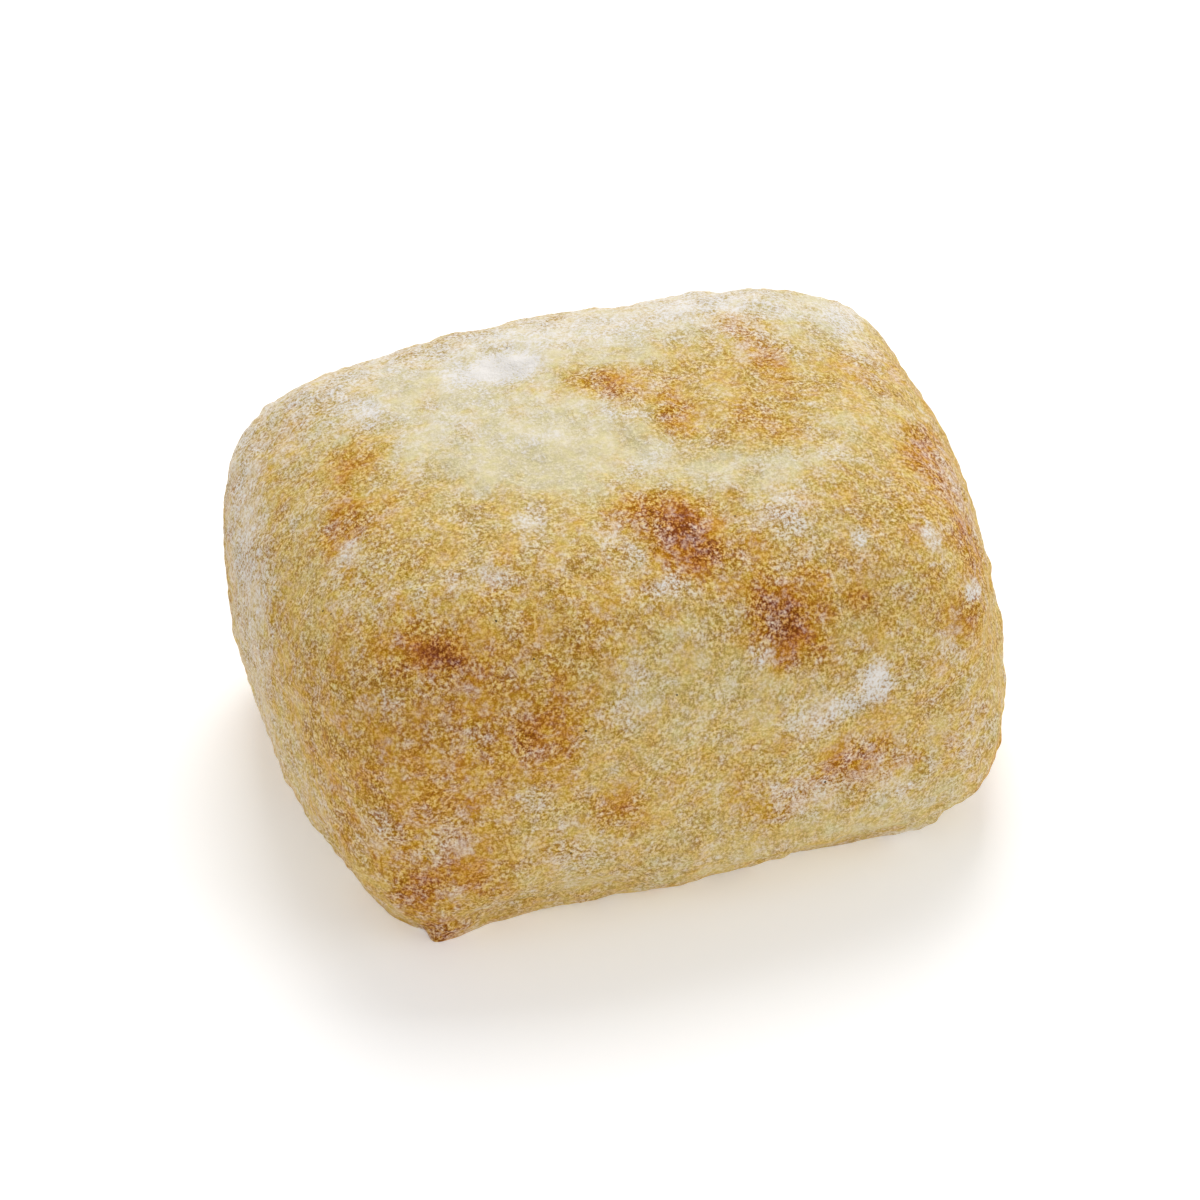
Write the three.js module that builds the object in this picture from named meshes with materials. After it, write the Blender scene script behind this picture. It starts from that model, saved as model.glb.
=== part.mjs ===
// Ciabatta roll: one pillow of slack dough, cut to a rough rectangle and baked on floured stone.
// It is flat below, bulges out to a waist, and puffs up to a broad crown.
// Millimetres, +Z up. The origin is on the surface that the roll rests on, under the middle of its box.
// +X runs along its length, and -Y is the side whose left corner ends in a small nib of dough.
import * as THREE from 'three';
import { ImprovedNoise } from 'three/addons/math/ImprovedNoise.js';
import { mergeVertices } from 'three/addons/utils/BufferGeometryUtils.js';

// Driving sizes of the whole roll, in millimetres
const LENGTH = 105.4;
const WIDTH = 81.2;
const HEIGHT = 56.4;

// Form of the outline seen from above
const OUTLINE_POWER = 6.2; // of the superellipse: 2 is an oval and higher is squarer
const FAR_SIDE_TAPER = 0.06; // share by which the far side is longer than the middle
const TAPER_STOP = 1.3; // share of the half width at which the taper stops growing
const SKEW = 0.037; // slide along X for each millimetre towards +Y
const LEAN_X = -0.057; // slide along X for each millimetre of height
const LEAN_Y = 0.059;

// Form of the side seen from the end
const WAIST_HEIGHT = 0.354 * HEIGHT; // where the outline is widest
const CROWN_POWER = 3.37; // roundness above the waist: higher is flatter on top
const TUCK_POWER = 3.18; // roundness below the waist
const FOOT_SHARE = 0.827; // share of the waist's reach that the flat base keeps
const FOOT_SHARE_MOST = 0.99;

// Places round the roll with a shape of their own. Their angle and half width are in degrees round it,
// from +X towards +Y. The other values are shares: more reach at the waist, and more of it kept by the foot.
const PLACES = [
	{ angle: - 142, spread: 24, reach: - 0.062, foot: 0.07 }, // near left corner
	{ angle: - 38, spread: 24, reach: - 0.032, foot: 0.02 }, // near right corner
	{ angle: 142, spread: 24, reach: - 0.082, foot: 0 }, // far left corner
	{ angle: 38, spread: 24, reach: - 0.07, foot: 0 }, // far right corner
	{ angle: - 84, spread: 50, reach: 0, foot: - 0.09 }, // near side, which is straight at the foot
	{ angle: 106, spread: 18, reach: 0.026, foot: 0 }, // far side, fuller to the left
	{ angle: 5, spread: 14, reach: - 0.01, foot: 0 }, // right end, a little flatter
];

// Relief of the crust: size of the lumps and how far they stand out
const LUMPS = [
	{ size: 24, height: 0.9 },
	{ size: 11, height: 0.5 },
	{ size: 6, height: 0.25 },
];
const LUMP_FADE_HEIGHT = 3; // lumps fade out over this height above the base

// Thin ragged lip where the dough spread on the stone
const LIP_HEIGHT = 2.2;
const LIP_REACH = 0.7;
const LIP_WAVE_SIZE = 7;
const LIP_WAVE_SHARE = 2; // how strongly the lip's reach comes and goes along it

// Nib of dough that the cutter drew out at the near left corner
const NIB_ANGLE = - 137.3; // in degrees round the roll, as its half width is
const NIB_SPREAD = 3;
const NIB_REACH = 2.2;
const NIB_HEIGHT = 3.2;

// Grid of the faceted skin
const FACET_SIZE = 3.3;
const ROWS_GATHER = 1.2; // above 1 gathers the rows of facets near the base

// Steps of the search for the skin along a ray
const SEARCH_STEPS = 40;

const noise = new ImprovedNoise();

// The direction of a point seen from above, in degrees round the roll
function angleOf( x, y ) {

	return THREE.MathUtils.radToDeg( Math.atan2( y, x ) );

}

// A smooth bump of height 1 at one angle round the roll
function bump( angle, at, spread ) {

	const turn = THREE.MathUtils.euclideanModulo( angle - at + 180, 360 ) - 180;
	return Math.exp( - ( ( turn / spread ) ** 2 ) );

}

// A value summed over the places, each weighted by how near the angle is to it
function placeSum( angle, key ) {

	return PLACES.reduce( ( sum, place ) => sum + place[ key ] * bump( angle, place.angle, place.spread ), 0 );

}

// Below 1 inside the smooth roll, 1 on its skin and above 1 outside it
function level( point ) {

	const y = point.y - LEAN_Y * point.z;
	const slid = point.x - LEAN_X * point.z - SKEW * y;
	const taper = 1 + FAR_SIDE_TAPER * THREE.MathUtils.clamp( 2 * y / WIDTH, - TAPER_STOP, TAPER_STOP );
	const x = slid / taper;
	const angle = angleOf( x, y );

	const alongShare = Math.abs( 2 * x / LENGTH ) ** OUTLINE_POWER;
	const acrossShare = Math.abs( 2 * y / WIDTH ) ** OUTLINE_POWER;
	const outline = ( alongShare + acrossShare ) ** ( 1 / OUTLINE_POWER ) / ( 1 + placeSum( angle, 'reach' ) );

	if ( point.z > WAIST_HEIGHT ) {

		const rise = ( point.z - WAIST_HEIGHT ) / ( HEIGHT - WAIST_HEIGHT );
		return outline ** CROWN_POWER + rise ** CROWN_POWER;

	}

	const foot = Math.min( FOOT_SHARE + placeSum( angle, 'foot' ), FOOT_SHARE_MOST );
	const drop = ( WAIST_HEIGHT - point.z ) / WAIST_HEIGHT;
	return outline ** TUCK_POWER + drop ** TUCK_POWER * ( 1 - foot ** TUCK_POWER );

}

// Where a ray from the middle of the base leaves the smooth roll
function reachAlong( direction ) {

	let inside = 0;
	let outside = LENGTH;
	const point = new THREE.Vector3();

	for ( let step = 0; step < SEARCH_STEPS; step ++ ) {

		const middle = ( inside + outside ) / 2;
		point.copy( direction ).multiplyScalar( middle );

		if ( level( point ) < 1 ) inside = middle;
		else outside = middle;

	}

	return inside;

}

// How far the crust stands out from the smooth roll at a point of it
function reliefAt( point ) {

	const lumps = LUMPS.reduce( ( sum, { size, height } ) => {

		return sum + height * noise.noise( point.x / size, point.y / size, point.z / size );

	}, 0 );

	const angle = angleOf( point.x, point.y );
	const lipWave = noise.noise( point.x / LIP_WAVE_SIZE, point.y / LIP_WAVE_SIZE, LIP_WAVE_SIZE );
	const lip = LIP_REACH * ( 1 + LIP_WAVE_SHARE * lipWave ) * Math.exp( - point.z / LIP_HEIGHT );
	const nib = NIB_REACH * bump( angle, NIB_ANGLE, NIB_SPREAD ) * Math.exp( - point.z / NIB_HEIGHT );
	return lumps * ( 1 - Math.exp( - point.z / LUMP_FADE_HEIGHT ) ) + lip + nib;

}

// A point of the crust in the direction of a point on the blank block
function crustPoint( blank ) {

	const direction = blank.clone().normalize();
	const smooth = direction.clone().multiplyScalar( reachAlong( direction ) );
	return direction.multiplyScalar( smooth.length() + reliefAt( smooth ) );

}

// The skin: a block of facets whose top and sides are pushed onto the crust, with a flat underside
function rollGeometry() {

	// The block is made on whole cells, so that its seams merge and its underside is exactly at zero
	const cells = [ LENGTH, WIDTH, HEIGHT ].map( ( size ) => Math.round( size / FACET_SIZE ) );
	const [ cellsAlong, cellsAcross, cellsUp ] = cells;
	const block = new THREE.BoxGeometry( ...cells, ...cells );
	block.translate( 0, 0, cellsUp / 2 );
	block.deleteAttribute( 'normal' );
	block.deleteAttribute( 'uv' );
	const skin = mergeVertices( block );
	const positions = skin.getAttribute( 'position' );
	const blank = new THREE.Vector3();

	for ( let i = 0; i < positions.count; i ++ ) {

		blank.fromBufferAttribute( positions, i );
		blank.x *= LENGTH / cellsAlong;
		blank.y *= WIDTH / cellsAcross;
		const share = Math.max( Math.abs( 2 * blank.x / LENGTH ), Math.abs( 2 * blank.y / WIDTH ) );

		if ( blank.z > 0 ) {

			blank.z = HEIGHT * ( blank.z / cellsUp ) ** ROWS_GATHER;
			blank.copy( crustPoint( blank ) );

		} else if ( share > 0 ) {

			const rim = crustPoint( blank.clone().divideScalar( share ) );
			blank.copy( rim.multiplyScalar( share ) );

		}

		positions.setXYZ( i, blank.x, blank.y, blank.z );

	}

	return skin;

}

// Centres the skin over the origin and brings its box to the driving sizes
function fitToSize( skin ) {

	skin.computeBoundingBox();
	const size = skin.boundingBox.getSize( new THREE.Vector3() );
	const middle = skin.boundingBox.getCenter( new THREE.Vector3() );
	skin.translate( - middle.x, - middle.y, 0 );
	skin.scale( LENGTH / size.x, WIDTH / size.y, HEIGHT / size.z );
	skin.computeVertexNormals();
	return skin;

}

const crust = new THREE.MeshStandardMaterial( { color: 0xd9b978, roughness: 0.85, metalness: 0 } );

const roll = new THREE.Mesh( fitToSize( rollGeometry() ), crust );
roll.name = 'roll';

const breadRoll = new THREE.Group();
breadRoll.add( roll );

export default breadRoll;
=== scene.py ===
# Ciabatta roll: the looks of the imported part.
# A fine skin is laid over the faceted solid, with the crust's relief, its toasted spots and its flour.
# Everything is in metres, in the part's own frame.
import math

import bmesh
import bpy
import numpy as np
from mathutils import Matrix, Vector, noise
from mathutils.bvhtree import BVHTree


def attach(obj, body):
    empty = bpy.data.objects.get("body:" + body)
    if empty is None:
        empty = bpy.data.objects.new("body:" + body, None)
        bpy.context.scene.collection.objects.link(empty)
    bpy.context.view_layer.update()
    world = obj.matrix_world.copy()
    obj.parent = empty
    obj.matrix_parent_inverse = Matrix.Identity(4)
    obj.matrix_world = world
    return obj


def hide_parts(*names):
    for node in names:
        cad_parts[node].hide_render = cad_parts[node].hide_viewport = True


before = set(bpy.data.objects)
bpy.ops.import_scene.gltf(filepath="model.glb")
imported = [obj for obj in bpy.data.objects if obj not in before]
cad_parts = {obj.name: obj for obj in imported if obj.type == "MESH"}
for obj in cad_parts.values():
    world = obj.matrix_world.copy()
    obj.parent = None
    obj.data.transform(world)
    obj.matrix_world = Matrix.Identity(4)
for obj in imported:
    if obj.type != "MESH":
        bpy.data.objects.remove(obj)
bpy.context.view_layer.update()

MM = 0.001
NODE = "roll"
BODY = "root"

# Seeds of the random draws and of each noise
SEED = 11
RELIEF_SEED = SEED
LAYER_SEED = SEED + 5
LIP_SEED = SEED + 8
TOAST_SEED = SEED + 100
FLOUR_SEED = SEED + 200
SPOT_SEED_OFFSET = 20  # a field's spots start this many seeds after its mottles
HIDDEN_SPOT_SEED = 60
SEED_SHIFT = 7.3  # how far each seed shifts the noise, in lumps
OCTAVE_FADE = 1.0  # power by which each finer octave of a noise is weaker
OCTAVE_STEP = 2.0  # how many times finer it is

# The photo's camera, fitted to the roll's outline and its soft shading
PHOTO_SIZE = 1200
PHOTO_MIDDLE = PHOTO_SIZE / 2
SENSOR_WIDTH = 36
VIEW_AZIMUTH = math.radians(17.7)
VIEW_ELEVATION = math.radians(40)
VIEW_DISTANCE = 0.8
CLIP_START = 0.01
PIXELS_PER_METRE = 7036
ORIGIN_PIXEL = (617.6, 731.2)

# Grid of the fine skin
CELL = 0.65 * MM
MERGE_STEP = 0.001 * MM  # corners of the solid nearer to each other than this are one
ROWS_GATHER = 1.2  # above 1 gathers the rows of cells near the base
RAY_START = 15 * MM  # rays to the skin start this far from the middle of the base, inside the solid
RIM_HEIGHT = 0.05 * MM  # rays to the rim of the underside pass this far above the base
ROUNDING = 0.75  # share of the way from the flat facets to the round form that they stand for
RELAX_ROUNDS = 10
RELAX_STEP = 0.5  # share of the way to the middle of its neighbours that a point moves in a round

# Least values, so that nothing is divided by 0
LEAST_SHARE = 1e-6
LEAST_LENGTH = 1e-12

# Relief of the crust: size and height of each kind, in metres, and its octaves
RELIEF = [
    {"size": 9 * MM, "height": 0.45 * MM, "octaves": 2},
    {"size": 3.6 * MM, "height": 0.3 * MM, "octaves": 2},
    {"size": 1.7 * MM, "height": 0.24 * MM, "octaves": 1},
]
RELIEF_FADE = 2 * MM  # relief fades out over this height above the base

# Shallow bulges and dents, which bring the outline onto the photo's: the photo's pixel x and y,
# the radius and how far the crust moves out, both in millimetres
PUSHES = [
    # right end, from the top down
    (910, 375, 5, -0.6),
    (946, 440, 6, 0.6),
    (986, 555, 4, -0.45),
    (998, 590, 9, -1.1),
    (1002, 630, 6, -0.4),
    (1000, 750, 7, -0.45),
    # far side and left end, from right to left
    (665, 294, 5, -0.3),
    (560, 316, 12, 0.3),
    (380, 350, 12, -0.9),
    (318, 376, 5, -0.3),
    (248, 436, 12, 0.9),
    (222, 485, 6, -0.4),
    (226, 540, 10, 0.6),
    (252, 705, 10, -0.9),
    (335, 860, 9, -0.8),
    # near edge of the base, from left to right
    (505, 922, 6, -1.95),
    (575, 905, 8, -2.4),
    (620, 893, 4, -0.6),
    (740, 872, 5, -0.4),
    (800, 858, 6, -1.2),
    (850, 846, 5, -1.9),
    (873, 836, 1.6, 0.3),
    (905, 832, 2.5, 0.4),
    (930, 824, 2.5, 1.0),
    (948, 812, 2.2, -0.8),
    (972, 803, 4, 0.2),
]
PUSH_LIFT_HEIGHT = 6 * MM  # nearer the base than this, the crust moves sideways rather than out

# Fine layers in the dough near the base, drawn out along it
LAYER_LENGTH = 13 * MM
LAYER_THICKNESS = 1.5 * MM
LAYER_HEIGHT = 0.4 * MM
LAYERS_FULL_HEIGHT = 4 * MM  # above the base, up to which they stand out fully
LAYERS_END_HEIGHT = 16 * MM

# Ragged lip along the base
LIP_RISE = 1.1 * MM
LIP_WAVES = [
    {"size": 6.5 * MM, "reach": 0.9 * MM},
    {"size": 2.6 * MM, "reach": 0.5 * MM},
]
RIM_REACH = 40 * MM
LIP_FADE = (0.3, 0.8)  # shares of that reach between which the lip fades in across the underside

# Nib at the near left corner of the base
NIB_PIXEL = (439, 934)
NIB_WIDTH = 1.9 * MM
NIB_RISE = 2.4 * MM
NIB_REACH = 1.2 * MM

# Spots are ellipses in the photo's pixels: middle x and y, half width, half height, turn in degrees
# clockwise, and strength. They take in what lies within SPOT_DEPTH of the crust there.
SPOT_DEPTH = 14 * MM
SPOT_DEPTH_FALL = 2  # how fast a spot falls off beyond that depth
SPOT_RAGGEDNESS = 0.35
SPOT_WANDER_SHARE = 0.9  # size of the ragged edge's waves, as a share of the spot's narrower half
SPOT_WANDER_LEAST = 1.2 * MM
SPOT_EDGE = 3  # power of the fall-off: higher has a sharper edge
SPOT_END = 3  # half widths from the middle, beyond which a spot adds nothing
RAGGED_OCTAVES = 2  # of the noises in the mottles and in the edges of the spots

# How toasted the crust is, from 0 for pale to 1 for nearly black
TOAST_LEVEL = 0.25
TOAST_MOTTLES = [
    {"size": 15 * MM, "strength": 0.04},
    {"size": 5 * MM, "strength": 0.07},
]
TOAST_SPOTS = [
    # large dark spots
    (660, 515, 40, 28, 15, 0.35),
    (692, 550, 28, 33, -15, 0.43),
    (785, 618, 39, 41, 0, 0.46),
    (796, 640, 20, 20, 0, 0.2),
    (438, 653, 24, 14, 0, 0.26),
    (420, 652, 55, 30, 0, 0.22),
    # small spots, from left to right
    (346, 526, 22, 34, 25, 0.26),
    (354, 460, 34, 18, -35, 0.25),
    (418, 895, 20, 20, 0, 0.3),
    (460, 876, 44, 24, 0, 0.25),
    (438, 931, 22, 14, 0, 0.34),
    (545, 740, 30, 26, 0, 0.2),
    (590, 378, 26, 16, 0, 0.24),
    (624, 387, 30, 14, 15, 0.21),
    (618, 808, 28, 22, 0, 0.2),
    (674, 414, 19, 25, 0, 0.27),
    (728, 324, 28, 13, 0, 0.26),
    (755, 345, 26, 14, 30, 0.15),
    (772, 370, 20, 15, 40, 0.15),
    (765, 425, 38, 15, 10, 0.15),
    (775, 808, 34, 20, -15, 0.18),
    (832, 762, 22, 14, -20, 0.14),
    (860, 600, 14, 14, 0, 0.22),
    (868, 372, 40, 20, 20, 0.12),
    (868, 760, 40, 22, -20, 0.28),
    (928, 455, 22, 36, -28, 0.28),
    (950, 492, 12, 24, -25, 0.15),
    (968, 545, 15, 36, -14, 0.28),
    (968, 620, 17, 25, 0, 0.15),
    # wide golden areas
    (400, 745, 130, 95, 0, 0.17),
    (430, 845, 80, 60, 0, 0.12),
    (520, 700, 70, 55, 0, 0.13),
    (560, 620, 120, 50, 0, 0.1),
    (900, 530, 90, 90, 0, 0.05),
    (955, 640, 30, 60, 0, 0.05),
    (740, 555, 60, 40, 30, 0.12),
    (700, 425, 60, 25, 0, 0.04),
    # wide pale areas
    (480, 430, 120, 62, -5, -0.24),
    (600, 455, 110, 42, -5, -0.2),
    (740, 470, 100, 24, -5, -0.18),
    (600, 335, 280, 36, -12, -0.2),
    (835, 325, 50, 30, 0, -0.14),
    (860, 420, 50, 36, 0, -0.1),
    (690, 665, 55, 80, 0, -0.08),
    (800, 700, 80, 30, 0, -0.05),
    (890, 812, 90, 24, -14, -0.12),
    (700, 860, 170, 30, -14, -0.06),
    # small pale gaps
    (535, 801, 22, 14, 0, -0.08),
    (627, 704, 24, 18, -40, -0.07),
    (752, 662, 14, 12, 0, -0.1),
]

# How much of the crust the flour covers, from 0 to 1
FLOUR_LEVEL = 0.04
FLOUR_MOTTLES = [
    {"size": 11 * MM, "strength": 0.05},
    {"size": 3.5 * MM, "strength": 0.1},
]
FLOUR_SPOTS = [
    # thick patches
    (506, 368, 29, 12, -5, 2.8),
    (464, 377, 20, 11, 0, 1.0),
    (876, 680, 18, 17, 0, 1.0),
    (852, 704, 26, 11, -20, 0.52),
    (815, 717, 34, 18, -10, 0.4),
    (351, 550, 26, 8, -48, 0.42),
    (532, 518, 15, 14, 0, 0.42),
    (490, 575, 20, 13, 20, 0.46),
    (932, 537, 9, 13, -30, 0.78),
    (860, 538, 9, 9, 0, 0.7),
    (973, 590, 9, 9, 0, 0.8),
    (843, 319, 22, 16, 0, 0.52),
    (365, 411, 22, 15, 0, 0.55),
    # thin patches, from left to right
    (380, 705, 20, 14, 0, 0.14),
    (380, 828, 14, 22, 0, 0.24),
    (412, 475, 14, 11, 0, 0.3),
    (450, 892, 20, 8, 0, 0.16),
    (455, 588, 12, 9, 0, 0.2),
    (456, 838, 18, 26, 20, 0.26),
    (425, 852, 30, 14, 0, 0.14),
    (470, 742, 16, 12, 0, 0.27),
    (535, 801, 20, 13, 0, 0.25),
    (540, 439, 26, 9, -12, 0.34),
    (590, 855, 40, 13, -10, 0.14),
    (611, 539, 14, 12, 0, 0.36),
    (630, 412, 34, 8, 5, 0.3),
    (632, 668, 14, 14, 0, 0.3),
    (627, 704, 24, 18, -40, 0.28),
    (636, 556, 12, 12, 0, 0.36),
    (648, 459, 34, 9, -40, 0.32),
    (668, 586, 18, 10, -25, 0.5),
    (688, 535, 24, 22, 0, 0.06),
    (722, 472, 26, 9, -30, 0.22),
    (762, 655, 13, 11, 0, 0.38),
    (780, 462, 28, 12, 0, 0.18),
    (785, 512, 28, 24, 0, 0.44),
    (800, 795, 40, 19, -12, 0.36),
    (835, 450, 15, 11, 0, 0.28),
    (860, 346, 26, 15, 30, 0.36),
    (872, 376, 34, 20, 20, 0.13),
    (928, 455, 20, 34, -28, 0.07),
    (880, 765, 40, 28, -20, 0.18),
    (906, 786, 24, 9, -8, 0.32),
    (946, 645, 10, 12, 0, 0.36),
    (956, 490, 11, 44, -22, 0.29),
    (966, 670, 13, 18, 30, 0.06),
    (971, 730, 18, 34, 10, 0.24),
    (370, 615, 34, 16, 0, 0.05),
    (385, 565, 18, 14, 0, 0.1),
    # dusted stretches
    (246, 560, 24, 160, -5, 0.46),
    (300, 780, 18, 90, -28, 0.17),
    (300, 410, 80, 40, -35, 0.3),
    (420, 358, 130, 18, -18, 0.42),
    (480, 412, 105, 38, -5, 0.26),
    (590, 456, 90, 34, 0, 0.04),
    (600, 326, 130, 22, -10, 0.6),
    (745, 300, 120, 18, 5, 0.42),
    (740, 335, 60, 26, 20, 0.24),
    (400, 590, 90, 24, 0, 0.1),
    # bare stretches
    (354, 462, 34, 18, -35, -0.14),
    (434, 655, 30, 16, 0, -0.1),
    (545, 740, 28, 24, 0, -0.06),
    (797, 640, 18, 18, 0, -0.06),
    (860, 600, 18, 16, 0, -0.14),
]
BASE_FLOUR_AND_BOUNCE_LIGHT = {"strength": 0.12, "height": 1.4 * MM}  # partly the stone's flour and partly painted bounce light from the floor, thinning out above the base

# Spots on the sides that the photo doesn't show, scattered by a seeded rule
HIDDEN_FACING = 0.1  # crust that faces away from the photo's camera by more than this is hidden
HIDDEN_TOAST = {"count": 34, "half_width": (2 * MM, 8 * MM), "strength": (0.1, 0.4)}
HIDDEN_FLOUR = {"count": 60, "half_width": (1.5 * MM, 5 * MM), "strength": (0.15, 0.5)}

# Colours of the crust from untoasted to darkest, in linear light
CRUST_COLOURS = [
    (0.0, (0.75, 0.65, 0.385)),
    (0.2, (0.70, 0.495, 0.165)),
    (0.4, (0.635, 0.35, 0.066)),
    (0.6, (0.54, 0.22, 0.026)),
    (0.8, (0.41, 0.125, 0.014)),
    (1.0, (0.27, 0.062, 0.008)),
]
FLOUR_COLOUR = (0.86, 0.82, 0.78)

# Grain of the crust, as noises: blotches of toast, clumps of flour, flecks, which are its finest
# grains, and the patches in which the flecks' contrast comes and goes
BLOTCH_NOISE = {"size": 3 * MM, "detail": 4.0, "roughness": 0.6}
CLUMP_NOISE = {"size": 1.4 * MM, "detail": 4.0, "roughness": 0.6}
FLECK_NOISE = {"size": 0.46 * MM, "detail": 3.0, "roughness": 0.8}
PATCH_NOISE = {"size": 4.5 * MM, "detail": 2.0, "roughness": 0.5}
NOISE_MIDDLE = 0.5  # the middle of what a noise node gives
BLOTCH_TOAST = 0.6
CLUMP_STRENGTH = 1.3
CLUMP_SHIFT = (3.1, 1.7, 5.9)  # keeps the clumps' noise apart from the blotches'
FLECK_RANGE = 0.11  # the noise beyond which a fleck is fully light or a pit fully dark
PATCH_RANGE = 0.15
PATCH_CONTRAST = (0.6, 1.3)
FLECK_TOAST = 0.42  # share by which a pit is more toasted
FLECK_PAINTED_SHADE = 0.3  # share by which a pit is darker and a grain's top lighter: painted shade and painted light
PALE_PAINTED_SHADE_SHARE = 0.35  # share of that painted shade and light that pale crust has
FULL_SHADE_TOAST = 0.25  # the toast from which crust has all of it
FLECK_BREAKS = 0.65  # how strongly pits break up the flour
FLECK_FLOUR = 0.12  # flour on top of every grain
FILM_FADE = 0.35  # how strongly the thin film of flour in a clump fades the crust's colour
FILM_HUE = 0.045  # how far it turns that colour to pink
SAME_HUE = 0.5  # the hue node's value that turns nothing
FULL_COVER = 0.98  # share of the crust that thick flour hides
CLUMP_BUMP = 4.0  # how much more than a fleck a clump stands out, for the same noise
BUMP_HEIGHT = 0.038 * MM
CRUST_ROUGHNESS = 0.68
FLOUR_ROUGHNESS = 0.95
ROUGH_COVER = 0.8  # share of flour from which the crust is as rough as flour
CRUST_SPECULAR = 0.12

# Specks of dark bran: those that the photo shows, by pixel, and those scattered by a seeded rule
BRAN_PIXELS = [
    (496, 621), (534, 659), (507, 348), (825, 782), (677, 695), (586, 731), (428, 859), (735, 516),
    (424, 849), (323, 611), (331, 614), (571, 853),
]
BRAN_SCATTERED = 30
BRAN_RADIUS = (0.1 * MM, 0.19 * MM)
BRAN_THICKNESS = 0.5  # share of its width that a speck keeps across the crust
BRAN_COLOUR = (0.035, 0.02, 0.012)
BRAN_ROUGHNESS = 0.8

# Floor and lights, in metres and watts
FLOOR_SIZE = 6
FLOOR_COLOUR = (0.93, 0.93, 0.93)
FLOOR_ROUGHNESS = 0.9
FLOOR_GLOW = 0.25
PLAIN_SPECULAR = 0.2
DAYLIGHT_COLOUR = (1, 1, 1)
DAYLIGHT_STRENGTH = 0.58
KEY_LIGHT = {"place": (0.2, 0.6, 1.05), "size": 0.6, "power": 7.8}
SIDE_LIGHT = {"place": (0.85, -0.5, 0.5), "size": 0.7, "power": 1.9}


def unit(vectors):
    """The vectors at length 1."""
    lengths = np.linalg.norm(vectors, axis=-1, keepdims=True)
    return vectors / np.maximum(lengths, LEAST_LENGTH)


def smooth_step(start, end, values):
    """0 up to the start, 1 past the end, and a smooth rise between. The end may be the lower one."""
    share = np.clip((values - start) / (end - start), 0, 1)
    return share * share * (3 - 2 * share)


def camera_axes():
    """The photo's directions: right, up, and away from the camera."""
    ahead = np.array([math.sin(VIEW_AZIMUTH), math.cos(VIEW_AZIMUTH), 0])
    right = np.array([math.cos(VIEW_AZIMUTH), -math.sin(VIEW_AZIMUTH), 0])
    above = np.array([0, 0, 1])
    away = ahead * math.cos(VIEW_ELEVATION) - above * math.sin(VIEW_ELEVATION)
    up = ahead * math.sin(VIEW_ELEVATION) + above * math.cos(VIEW_ELEVATION)
    return right, up, away


RIGHT, UP, AWAY = camera_axes()
AIM = (
    RIGHT * (PHOTO_MIDDLE - ORIGIN_PIXEL[0]) / PIXELS_PER_METRE
    - UP * (PHOTO_MIDDLE - ORIGIN_PIXEL[1]) / PIXELS_PER_METRE
)
CAMERA_PLACE = AIM - AWAY * VIEW_DISTANCE


def pixel_ray(pixel):
    """The direction from the camera through a pixel of the photo."""
    across = (pixel[0] - PHOTO_MIDDLE) / PIXELS_PER_METRE
    down = (pixel[1] - PHOTO_MIDDLE) / PIXELS_PER_METRE
    return unit(AWAY * VIEW_DISTANCE + RIGHT * across - UP * down)


def mesh_arrays(node):
    """Points and triangles of a CAD node, with its split corners merged."""
    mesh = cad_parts[node].data
    mesh.calc_loop_triangles()
    points = np.empty(len(mesh.vertices) * 3)
    mesh.vertices.foreach_get("co", points)
    points = points.reshape(-1, 3)
    corners = np.empty(len(mesh.loop_triangles) * 3, np.int32)
    mesh.loop_triangles.foreach_get("vertices", corners)
    _, first, place_of = np.unique(
        np.round(points / MERGE_STEP), axis=0, return_index=True, return_inverse=True
    )
    return points[first], place_of.reshape(-1)[corners].reshape(-1, 3)


def crust_normals(points, triangles):
    """A smooth normal at each point of the solid, without the flat underside's share."""
    a, b, c = (points[triangles[:, k]] for k in range(3))
    across = np.cross(b - a, c - a)
    underside = points[triangles][:, :, 2].max(axis=1) < RIM_HEIGHT
    across[underside] = 0
    normals = np.zeros_like(points)
    for k in range(3):
        np.add.at(normals, triangles[:, k], across)
    return unit(normals)


def barycentric(places, corners):
    """How much each corner of its triangle weighs at each place."""
    a, b, c = corners[:, 0], corners[:, 1], corners[:, 2]
    whole = np.cross(b - a, c - a)
    area = (whole * whole).sum(axis=1)
    at_a = (np.cross(b - places, c - places) * whole).sum(axis=1) / area
    at_b = (np.cross(c - places, a - places) * whole).sum(axis=1) / area
    return np.stack([at_a, at_b, 1 - at_a - at_b], axis=1)


def rounded_hits(tree, points, triangles, normals, starts, directions):
    """Where rays leave the solid, moved off its flat facets onto the round form that they stand for."""
    rays = zip(starts, directions)
    hits = [tree.ray_cast(Vector(start), Vector(direction)) for start, direction in rays]
    places = np.array([place for place, _, _, _ in hits])
    faces = triangles[[index for _, _, index, _ in hits]]
    corners = points[faces]
    corner_normals = normals[faces]
    weights = barycentric(places, corners)
    off = ((places[:, None] - corners) * corner_normals).sum(axis=2, keepdims=True)
    rounded = ((places[:, None] - off * corner_normals) * weights[..., None]).sum(axis=1)
    return places + ROUNDING * (rounded - places)


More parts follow.
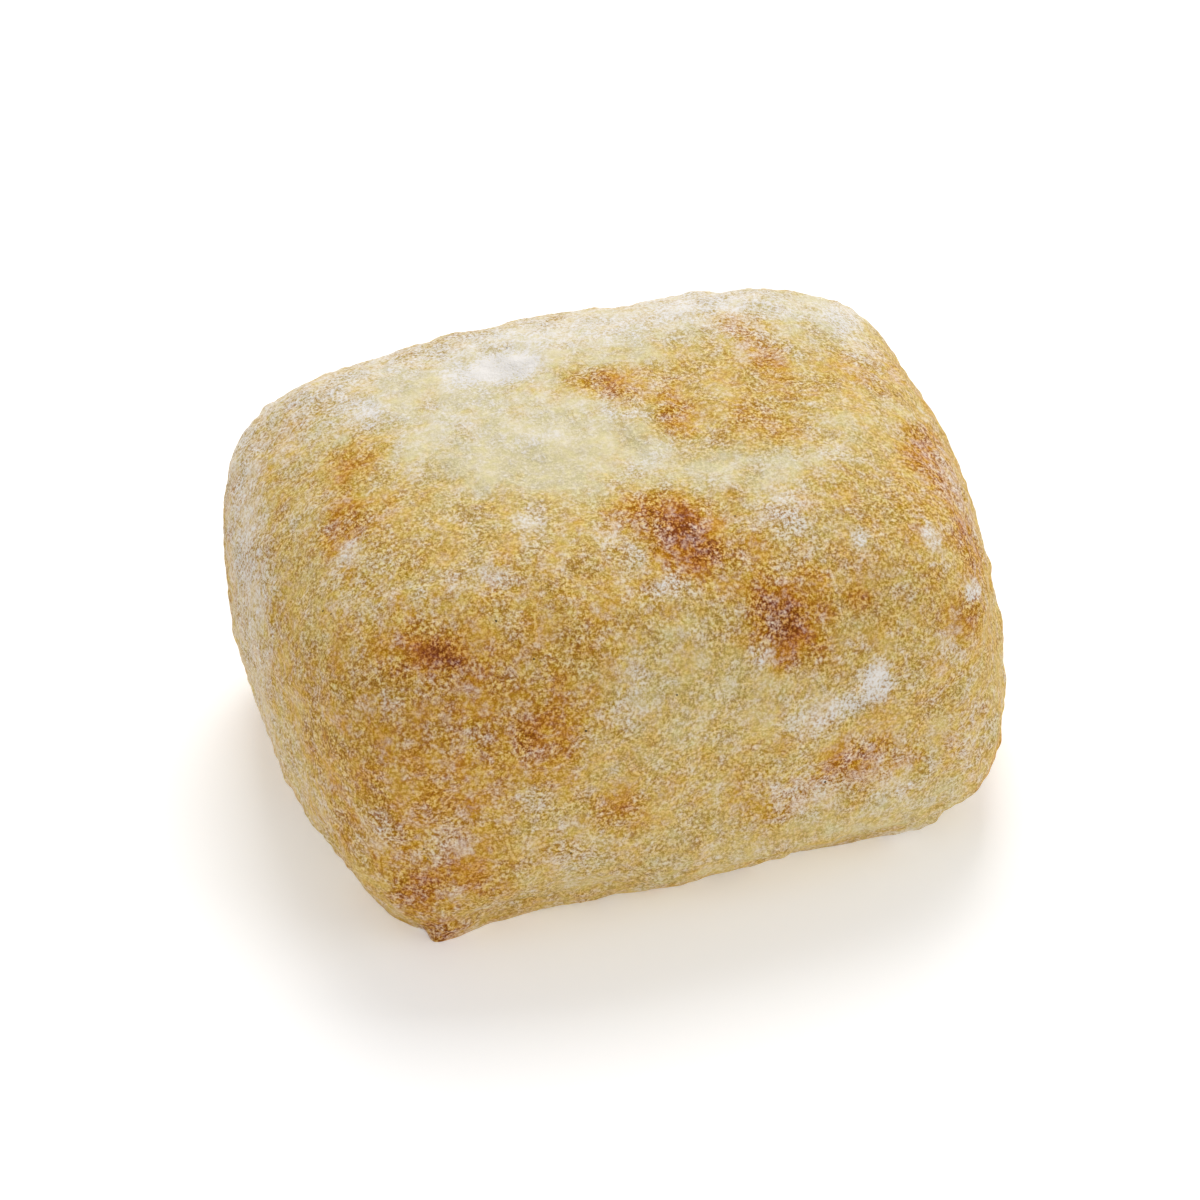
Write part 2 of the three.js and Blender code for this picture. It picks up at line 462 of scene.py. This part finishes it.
def block_lattice(cells):
    """Whole-numbered points of a block's surface, and the quads between them facing out."""
    along, across, up = cells

    def face(u_cells, v_cells, place):
        u, v = np.meshgrid(np.arange(u_cells), np.arange(v_cells), indexing="ij")
        turns = [(0, 0), (1, 0), (1, 1), (0, 1)]
        quads = [np.stack(np.broadcast_arrays(*place(u + du, v + dv)), -1) for du, dv in turns]
        return np.stack(quads, -2).reshape(-1, 4, 3)

    quads = np.concatenate([
        face(along, across, lambda u, v: (u, v, up)),
        face(along, across, lambda u, v: (u, across - v, 0)),
        face(along, up, lambda u, v: (u, 0, v)),
        face(along, up, lambda u, v: (along - u, across, v)),
        face(across, up, lambda u, v: (0, across - u, v)),
        face(across, up, lambda u, v: (along, u, v)),
    ])
    lattice, place_of = np.unique(quads.reshape(-1, 3), axis=0, return_inverse=True)
    return lattice, place_of.reshape(-1, 4)


def relax(points, quads, free, rounds):
    """Moves the free points towards the middle of their neighbours, to lose what is left of the facets."""
    starts = quads.reshape(-1)
    ends = np.roll(quads, -1, axis=1).reshape(-1)
    count = np.bincount(starts, minlength=len(points))[:, None]
    for _ in range(rounds):
        total = np.stack([np.bincount(starts, points[ends, k], len(points)) for k in range(3)], axis=1)
        points = points + free[:, None] * RELAX_STEP * (total / count - points)
    return points


def quad_normals(points, quads):
    """A smooth normal at each point of the skin."""
    corners = points[quads]
    across = np.cross(corners[:, 2] - corners[:, 0], corners[:, 3] - corners[:, 1])
    normals = np.zeros_like(points)
    for axis in range(3):
        for k in range(4):
            normals[:, axis] += np.bincount(quads[:, k], across[:, axis], len(points))
    return unit(normals)


def noise_at(points, size, seed, octaves=1, stretch=(1, 1, 1)):
    """Smooth noise of about -1 to 1 at each point, in lumps of the size, which may be stretched."""
    scaled = points / (size * np.array(stretch)) + seed * SEED_SHIFT
    return np.array([noise.fractal(Vector(place), OCTAVE_FADE, OCTAVE_STEP, octaves) for place in scaled])


def smooth_skin():
    """The roll's skin on a fine grid, before its relief."""
    points, triangles = mesh_arrays(NODE)
    normals = crust_normals(points, triangles)
    tree = BVHTree.FromPolygons(points.tolist(), triangles.tolist())
    size = points.max(axis=0) - points.min(axis=0)
    cells = np.round(size / CELL).astype(int)
    lattice, quads = block_lattice(cells)
    blank = lattice / cells * size - [size[0] / 2, size[1] / 2, 0]
    blank[:, 2] = size[2] * (lattice[:, 2] / cells[2]) ** ROWS_GATHER
    underside = lattice[:, 2] == 0
    share = np.abs(2 * blank[:, :2] / size[:2]).max(axis=1)
    share = np.where(underside, np.maximum(share, LEAST_SHARE), 1)
    targets = blank / share[:, None]
    targets[underside, 2] = RIM_HEIGHT
    directions = unit(targets)
    starts = directions * RAY_START
    skin = rounded_hits(tree, points, triangles, normals, starts, directions)
    skin[underside] *= share[underside, None]
    skin[underside, 2] = 0
    free = smooth_step(0, RELIEF_FADE, skin[:, 2])
    return relax(skin, quads, free, RELAX_ROUNDS), quads


def spot_weight(points, anchor, half_width, half_height, turn, seed):
    """1 in the middle of a spot, falling off past its ragged edge. The spot is an ellipse in the photo."""
    from_middle = points - anchor
    across = from_middle @ RIGHT * PIXELS_PER_METRE
    down = -(from_middle @ UP) * PIXELS_PER_METRE
    depth = np.abs(from_middle @ AWAY)
    angle = math.radians(turn)
    u = (across * math.cos(angle) + down * math.sin(angle)) / half_width
    v = (down * math.cos(angle) - across * math.sin(angle)) / half_height
    w = np.maximum(depth / SPOT_DEPTH - 1, 0) * SPOT_DEPTH_FALL
    squared_distance = u * u + v * v + w * w
    near = squared_distance < SPOT_END ** 2
    narrower_half = min(half_width, half_height) / PIXELS_PER_METRE
    wander_size = max(narrower_half * SPOT_WANDER_SHARE, SPOT_WANDER_LEAST)
    wander = 1 + SPOT_RAGGEDNESS * noise_at(points[near], wander_size, seed, RAGGED_OCTAVES)
    distance = np.sqrt(squared_distance)[near] * wander
    weight = np.zeros(len(points))
    weight[near] = np.exp(-(distance ** SPOT_EDGE))
    return weight


def place_seen(points, tree, pixel):
    """The place on the skin that the camera sees at a pixel, or the one nearest to its ray."""
    ray = pixel_ray(pixel)
    hit = tree.ray_cast(Vector(CAMERA_PLACE), Vector(ray))[0]
    if hit is not None:
        return np.array(hit)
    return points[np.linalg.norm(np.cross(points - CAMERA_PLACE, ray), axis=1).argmin()]


def photo_field(points, tree, level, mottles, spots, seed):
    """A value at each point: a level, its slow mottling, and the spots that the photo shows."""
    field = np.full(len(points), float(level))
    for k, mottle in enumerate(mottles):
        field += mottle["strength"] * noise_at(points, mottle["size"], seed + k, RAGGED_OCTAVES)
    for k, (x, y, half_width, half_height, turn, strength) in enumerate(spots):
        anchor = place_seen(points, tree, (x, y))
        spot_seed = seed + SPOT_SEED_OFFSET + k
        field += strength * spot_weight(points, anchor, half_width, half_height, turn, spot_seed)
    return field


def scatter_hidden(points, normals, field, rule, generator):
    """Adds spots to the field on the sides that face away from the photo's camera."""
    hidden = np.nonzero(normals @ AWAY > HIDDEN_FACING)[0]
    for k in range(rule["count"]):
        anchor = points[generator.choice(hidden)]
        half_width = generator.uniform(*rule["half_width"])
        strength = generator.uniform(*rule["strength"])
        distance = np.linalg.norm((points - anchor), axis=1) / half_width
        near = distance < SPOT_END
        spot_noise = noise_at(points[near], half_width, HIDDEN_SPOT_SEED + k, RAGGED_OCTAVES)
        wander = 1 + SPOT_RAGGEDNESS * spot_noise
        field[near] += strength * np.exp(-((distance[near] * wander) ** SPOT_EDGE))


def push_places(points, quads):
    """The skin with its outline moved onto the photo's where the solid's plain form departs from it."""
    tree = BVHTree.FromPolygons(points.tolist(), quads.tolist())
    sideways = unit(points * [1, 1, 0])
    lift = smooth_step(0, PUSH_LIFT_HEIGHT, points[:, 2])[:, None]
    directions = sideways + lift * (quad_normals(points, quads) - sideways)
    push = np.zeros(len(points))
    for x, y, radius, distance in PUSHES:
        from_anchor = np.linalg.norm(points - place_seen(points, tree, (x, y)), axis=1)
        push += distance * MM * np.exp(-((from_anchor / (radius * MM)) ** 2))
    return points + directions * push[:, None]


def add_relief(points, quads):
    """The skin with its lumps, layers, ragged lip and nib."""
    points = push_places(points, quads)
    normals = quad_normals(points, quads)
    above_base = smooth_step(0, RELIEF_FADE, points[:, 2])
    push = np.zeros(len(points))
    for k, kind in enumerate(RELIEF):
        push += kind["height"] * noise_at(points, kind["size"], RELIEF_SEED + k, kind["octaves"])
    layer_stretch = (1, 1, LAYER_THICKNESS / LAYER_LENGTH)
    layers = noise_at(points, LAYER_LENGTH, LAYER_SEED, stretch=layer_stretch)
    near_base = smooth_step(LAYERS_END_HEIGHT, LAYERS_FULL_HEIGHT, points[:, 2])
    push += LAYER_HEIGHT * layers * near_base
    points = points + normals * (push * above_base)[:, None]

    outward = unit(points * [1, 1, 0])
    at_base = np.exp(-points[:, 2] / LIP_RISE)
    reach = np.zeros(len(points))
    for k, wave in enumerate(LIP_WAVES):
        reach += wave["reach"] * noise_at(points * [1, 1, 0], wave["size"], LIP_SEED + k)
    rim_share = np.linalg.norm(points[:, :2], axis=1) / RIM_REACH
    reach *= at_base * smooth_step(*LIP_FADE, rim_share)

    ray = pixel_ray(NIB_PIXEL)
    nib_place = CAMERA_PLACE - ray * CAMERA_PLACE[2] / ray[2]
    nib_distance = np.linalg.norm((points - nib_place)[:, :2], axis=1) / NIB_WIDTH
    nib = NIB_REACH * np.exp(-(nib_distance ** 2)) * np.exp(-((points[:, 2] / NIB_RISE) ** 2))
    points = points + outward * (reach + nib)[:, None]
    return points


def mesh_object(name, points, faces, material):
    """A smooth-shaded mesh object that rides on the roll's body."""
    mesh = bpy.data.meshes.new(name)
    mesh.from_pydata(points.tolist(), [], faces.tolist())
    mesh.materials.append(material)
    mesh.shade_smooth()
    thing = bpy.data.objects.new(name, mesh)
    bpy.context.scene.collection.objects.link(thing)
    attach(thing, BODY)
    return thing


def add_field(mesh, name, values):
    """Stores a value for each point, for the material to read."""
    mesh.attributes.new(name, "FLOAT", "POINT").data.foreach_set("value", values.astype(np.float32))


def add_node(tree, kind, inputs=None, **settings):
    """A shader node with its settings, and each input linked or set."""
    node = tree.nodes.new(kind)
    for name, value in settings.items():
        setattr(node, name, value)
    for name, value in (inputs or {}).items():
        if isinstance(value, bpy.types.NodeSocket):
            tree.links.new(value, node.inputs[name])
        else:
            node.inputs[name].default_value = value
    return node


def arithmetic(tree, operation, first, second=0.0, third=0.0):
    """The result of one math node."""
    inputs = {0: first, 1: second, 2: third}
    return add_node(tree, "ShaderNodeMath", inputs, operation=operation).outputs[0]


def grain(tree, place, size, detail, roughness):
    """Noise of -0.5 to 0.5 in grains of the size."""
    inputs = {"Vector": place, "Scale": 1 / size, "Detail": detail, "Roughness": roughness}
    texture = add_node(tree, "ShaderNodeTexNoise", inputs)
    return arithmetic(tree, "SUBTRACT", texture.outputs["Fac"], NOISE_MIDDLE)


def new_material(name):
    """An empty node material and its shader."""
    material = bpy.data.materials.new(name)
    material.use_nodes = True
    shader = material.node_tree.nodes["Principled BSDF"]
    return material, material.node_tree, shader


def colour_ramp(tree, value, stops):
    """Colours along a value."""
    node = add_node(tree, "ShaderNodeValToRGB", {"Fac": value})
    ramp = node.color_ramp
    halfway = 0.5  # new stops start here, and move to their own places below
    while len(ramp.elements) < len(stops):
        ramp.elements.new(halfway)
    for element, (position, colour) in zip(ramp.elements, stops):
        element.position = position
        element.color = (*colour, 1)
    return node.outputs["Color"]


def mix_colours(tree, share, first, second):
    """The first colour, with a share of the second."""
    # The node's sockets share their names, so they are given by their order
    factor, first_colour, second_colour, mixed_colour = 0, 6, 7, 2
    inputs = {factor: share, first_colour: first, second_colour: second}
    return add_node(tree, "ShaderNodeMix", inputs, data_type="RGBA").outputs[mixed_colour]


def map_range(tree, value, low, high, new_low, new_high):
    """The value moved from one range to another, and kept inside it."""
    inputs = {
        "Value": value, "From Min": low, "From Max": high, "To Min": new_low, "To Max": new_high,
    }
    return add_node(tree, "ShaderNodeMapRange", inputs).outputs["Result"]


def crust_material():
    """Toasted crust under a broken dusting of flour, with painted shade in the pits between its grains and
    painted light on their tops.
    """
    material, tree, shader = new_material("floured_crust")
    place = add_node(tree, "ShaderNodeTexCoord").outputs["Object"]
    toast = add_node(tree, "ShaderNodeAttribute", attribute_name="toast").outputs["Fac"]
    flour = add_node(tree, "ShaderNodeAttribute", attribute_name="flour").outputs["Fac"]

    # Flecks run from -1 in the pits between the crust's grains to 1 on top of them, where flour clings
    flecks = map_range(tree, grain(tree, place, **FLECK_NOISE), -FLECK_RANGE, FLECK_RANGE, -1.0, 1.0)
    patch_noise = grain(tree, place, **PATCH_NOISE)
    patches = map_range(tree, patch_noise, -PATCH_RANGE, PATCH_RANGE, *PATCH_CONTRAST)
    flecks = arithmetic(tree, "MULTIPLY", flecks, patches)

    # The crust's own colour, with painted shade in the pits between its grains and painted light on their
    # tops
    blotches = grain(tree, place, **BLOTCH_NOISE)
    pit_toast = arithmetic(tree, "MULTIPLY_ADD", flecks, -FLECK_TOAST, 1.0)
    toasted = arithmetic(tree, "MULTIPLY", toast, pit_toast)
    toasted = arithmetic(tree, "MULTIPLY_ADD", blotches, BLOTCH_TOAST, toasted)
    colour = colour_ramp(tree, toasted, CRUST_COLOURS)
    pale_shade = PALE_PAINTED_SHADE_SHARE * FLECK_PAINTED_SHADE
    contrast = map_range(tree, toasted, 0.0, FULL_SHADE_TOAST, pale_shade, FLECK_PAINTED_SHADE)
    # Painted shade and light: the colour is darkened in the pits and lightened on the grains' tops, standing
    # in for light on the fine grain
    shade = arithmetic(tree, "MULTIPLY_ADD", flecks, contrast, 1.0)
    crust = add_node(tree, "ShaderNodeVectorMath", {0: colour, "Scale": shade}, operation="SCALE").outputs[0]

    # Flour, as a thin film over the clumps' places, and as the dust that covers the crust
    shift = {0: place, 1: CLUMP_SHIFT}
    flour_place = add_node(tree, "ShaderNodeVectorMath", shift, operation="ADD").outputs[0]
    clumps = grain(tree, flour_place, **CLUMP_NOISE)
    hue = arithmetic(tree, "MULTIPLY_ADD", clumps, -FILM_HUE, SAME_HUE)
    saturation = arithmetic(tree, "MULTIPLY_ADD", clumps, -FILM_FADE, 1.0)
    film = {"Color": crust, "Hue": hue, "Saturation": saturation}
    crust = add_node(tree, "ShaderNodeHueSaturation", film).outputs[0]
    dust = arithmetic(tree, "MULTIPLY_ADD", clumps, CLUMP_STRENGTH, flour)
    dust = arithmetic(tree, "MAXIMUM", dust, 0.0)
    broken = arithmetic(tree, "MULTIPLY_ADD", flecks, FLECK_BREAKS, 1.0)
    dust = arithmetic(tree, "MULTIPLY", dust, broken)
    dust = arithmetic(tree, "MULTIPLY_ADD", flecks, FLECK_FLOUR, dust)
    cover = map_range(tree, dust, 0.0, 1.0, 0.0, FULL_COVER)
    floured = mix_colours(tree, cover, crust, (*FLOUR_COLOUR, 1))
    roughness = map_range(tree, cover, 0.0, ROUGH_COVER, CRUST_ROUGHNESS, FLOUR_ROUGHNESS)
    tree.links.new(floured, shader.inputs["Base Color"])
    tree.links.new(roughness, shader.inputs["Roughness"])
    shader.inputs["Specular IOR Level"].default_value = CRUST_SPECULAR

    height = arithmetic(tree, "MULTIPLY_ADD", clumps, CLUMP_BUMP, flecks)
    bump = add_node(tree, "ShaderNodeBump", {"Height": height, "Distance": BUMP_HEIGHT, "Strength": 1.0})
    tree.links.new(bump.outputs["Normal"], shader.inputs["Normal"])
    return material


def plain_material(name, colour, roughness, glow):
    """A plain matte material, which may give off a little light of its own, as a light table does."""
    material, _, shader = new_material(name)
    shader.inputs["Base Color"].default_value = (*colour, 1)
    shader.inputs["Emission Color"].default_value = (*colour, 1)
    shader.inputs["Emission Strength"].default_value = glow
    shader.inputs["Roughness"].default_value = roughness
    shader.inputs["Specular IOR Level"].default_value = PLAIN_SPECULAR
    return material


def make_roll():
    """The roll's fine skin, which stands for the CAD node, and the bran on it."""
    skin, quads = smooth_skin()
    skin = add_relief(skin, quads)
    normals = quad_normals(skin, quads)
    tree = BVHTree.FromPolygons(skin.tolist(), quads.tolist())
    toast = photo_field(skin, tree, TOAST_LEVEL, TOAST_MOTTLES, TOAST_SPOTS, TOAST_SEED)
    flour = photo_field(skin, tree, FLOUR_LEVEL, FLOUR_MOTTLES, FLOUR_SPOTS, FLOUR_SEED)
    # Paler band along the base: partly the stone's flour, partly painted bounce light from the floor
    flour += BASE_FLOUR_AND_BOUNCE_LIGHT["strength"] * np.exp(-skin[:, 2] / BASE_FLOUR_AND_BOUNCE_LIGHT["height"])
    generator = np.random.default_rng(SEED)
    scatter_hidden(skin, normals, toast, HIDDEN_TOAST, generator)
    scatter_hidden(skin, normals, flour, HIDDEN_FLOUR, generator)
    roll = mesh_object("roll_crust", skin, quads, crust_material())
    add_field(roll.data, "toast", toast)
    add_field(roll.data, "flour", flour)
    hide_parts(NODE)
    make_bran(skin, normals, tree, generator)


def make_bran(skin, normals, tree, generator):
    """Flat dark specks that are stuck to the crust."""
    seen = [place_seen(skin, tree, pixel) for pixel in BRAN_PIXELS]
    hidden = np.nonzero((normals @ AWAY > HIDDEN_FACING) & (skin[:, 2] > RELIEF_FADE))[0]
    scattered = skin[generator.choice(hidden, BRAN_SCATTERED)]
    ball = bmesh.new()
    bmesh.ops.create_icosphere(ball, subdivisions=1, radius=1)
    corners = np.array([corner.co for corner in ball.verts])
    faces = np.array([[corner.index for corner in face.verts] for face in ball.faces])
    ball.free()
    points = []
    for place in [*seen, *scattered]:
        normal = normals[np.linalg.norm(skin - place, axis=1).argmin()]
        speck = corners * generator.uniform(*BRAN_RADIUS, 3)
        speck -= (1 - BRAN_THICKNESS) * (speck @ normal)[:, None] * normal
        points.append(place + speck)
    all_faces = np.concatenate([faces + k * len(corners) for k in range(len(points))])
    bran = plain_material("bran", BRAN_COLOUR, BRAN_ROUGHNESS, glow=0)
    mesh_object("bran_specks", np.concatenate(points), all_faces, bran)


def make_floor():
    """A plain pale floor."""
    bpy.ops.mesh.primitive_plane_add(size=FLOOR_SIZE)
    floor = bpy.context.object
    floor.name = "floor"
    material = plain_material("pale_floor", FLOOR_COLOUR, FLOOR_ROUGHNESS, FLOOR_GLOW)
    floor.data.materials.append(material)


def make_camera():
    """The camera at the photo's angle and distance."""
    data = bpy.data.cameras.new("camera")
    data.sensor_width = SENSOR_WIDTH
    data.lens = PIXELS_PER_METRE * VIEW_DISTANCE / PHOTO_SIZE * SENSOR_WIDTH
    data.clip_start = CLIP_START
    camera = bpy.data.objects.new("camera", data)
    camera.location = CAMERA_PLACE
    camera.rotation_euler = Vector(AWAY).to_track_quat("-Z", "Y").to_euler()
    bpy.context.scene.collection.objects.link(camera)
    bpy.context.scene.camera = camera


def area_light(name, place, size, power):
    """A soft square light that faces the roll."""
    data = bpy.data.lights.new(name, "AREA")
    data.size = size
    data.energy = power
    light = bpy.data.objects.new(name, data)
    light.location = place
    light.rotation_euler = (-Vector(place)).to_track_quat("-Z", "Y").to_euler()
    bpy.context.scene.collection.objects.link(light)


def make_lights():
    """Even daylight all round, a large soft light above and behind, and a weak one from the right."""
    world = bpy.data.worlds.new("studio")
    world.use_nodes = True
    background = world.node_tree.nodes["Background"]
    background.inputs["Color"].default_value = (*DAYLIGHT_COLOUR, 1)
    background.inputs["Strength"].default_value = DAYLIGHT_STRENGTH
    bpy.context.scene.world = world
    area_light("key", **KEY_LIGHT)
    area_light("side", **SIDE_LIGHT)


make_camera()
make_lights()
make_floor()
make_roll()

bpy.context.scene.view_settings.view_transform = "Standard"
